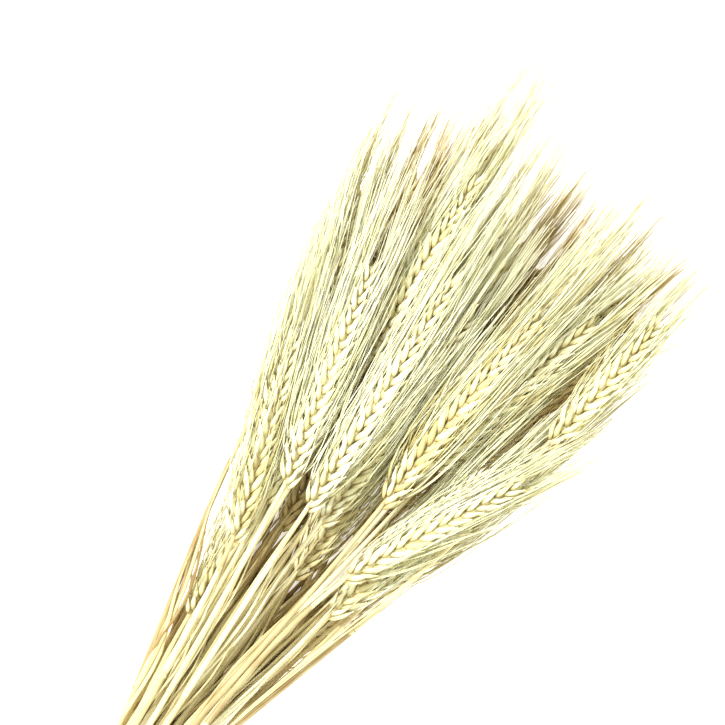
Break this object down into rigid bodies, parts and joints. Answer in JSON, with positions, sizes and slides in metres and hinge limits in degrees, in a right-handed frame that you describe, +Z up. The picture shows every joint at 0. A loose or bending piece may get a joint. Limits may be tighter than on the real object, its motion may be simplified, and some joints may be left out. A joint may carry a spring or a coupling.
{
  "type": "bunch of bearded wheat",
  "caption": "Dried bearded wheat stalks gathered by a raffia band and fanned out, lying on a flat surface.",
  "frame": {"origin": "middle of the bounding box's underside, on the surface that the bunch lies on", "axes": "+X runs along the bunch from the cut straw ends to the ears, +Y is the left of the fan seen from above, +Z is up"},
  "size_m": [0.4594, 0.1644, 0.0516],
  "materials": {
    "straw": "dry straw, slightly glossy",
    "raffia": "matte raffia"
  },
  "bodies": {
    "root": {"raffia_band": "raffia", "wheat_stalk_01": "straw", "wheat_stalk_02": "straw", "wheat_stalk_03": "straw", "wheat_stalk_04": "straw", "wheat_stalk_05": "straw", "wheat_stalk_06": "straw", "wheat_stalk_07": "straw", "wheat_stalk_08": "straw", "wheat_stalk_09": "straw", "wheat_stalk_10": "straw", "wheat_stalk_11": "straw", "wheat_stalk_12": "straw", "wheat_stalk_13": "straw", "wheat_stalk_14": "straw", "wheat_stalk_15": "straw", "wheat_stalk_16": "straw", "wheat_stalk_17": "straw", "wheat_stalk_18": "straw", "wheat_stalk_19": "straw", "wheat_stalk_20": "straw", "wheat_stalk_21": "straw", "wheat_stalk_22": "straw", "wheat_stalk_23": "straw", "wheat_stalk_24": "straw", "wheat_stalk_25": "straw", "wheat_stalk_26": "straw", "wheat_stalk_27": "straw", "wheat_stalk_28": "straw", "wheat_stalk_29": "straw", "wheat_stalk_30": "straw", "wheat_stalk_31": "straw"}
  },
  "joints": []
}
